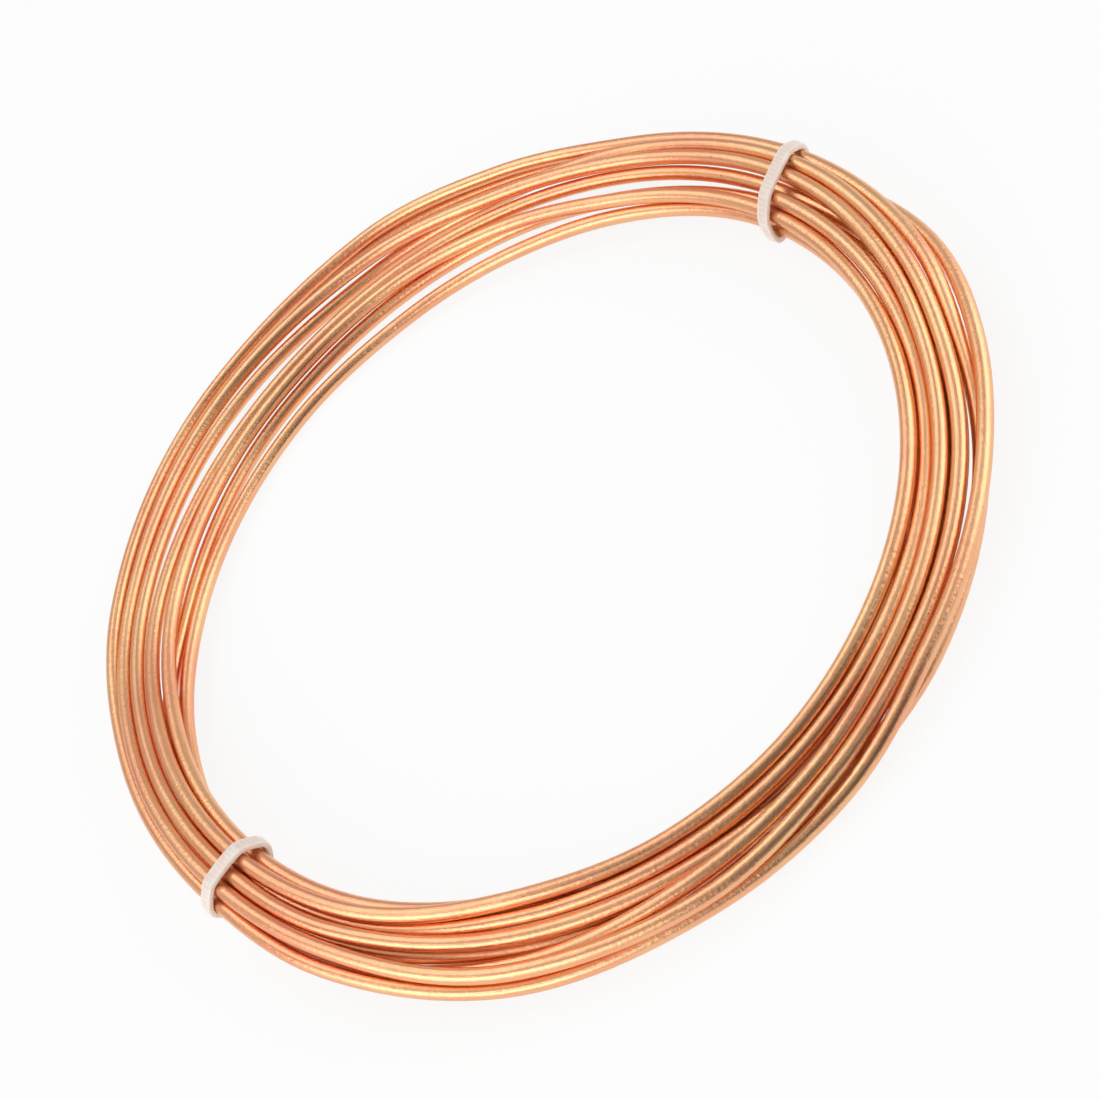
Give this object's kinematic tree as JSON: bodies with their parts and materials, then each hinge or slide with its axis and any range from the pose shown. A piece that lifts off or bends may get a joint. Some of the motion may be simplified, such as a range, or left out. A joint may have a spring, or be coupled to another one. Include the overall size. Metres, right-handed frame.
{
  "type": "copper tube coil",
  "caption": "Flat loose coil of thin bright copper tube, its turns lying in layers with a wide eye, bound across the bundle by milky nylon cable ties.",
  "frame": {"origin": "on the floor, under the middle of the coil", "axes": "+Z is the coil's axis, up; +X points to the right tie's side; +Y points to the far, loose side"},
  "size_m": [0.1214, 0.1288, 0.0098],
  "materials": {
    "copper": "bright drawn copper, satin along the tube",
    "nylon": "milky natural nylon"
  },
  "bodies": {
    "root": {"copper_tube": "copper", "cable_tie_right": "nylon", "cable_tie_left": "nylon"}
  },
  "joints": []
}
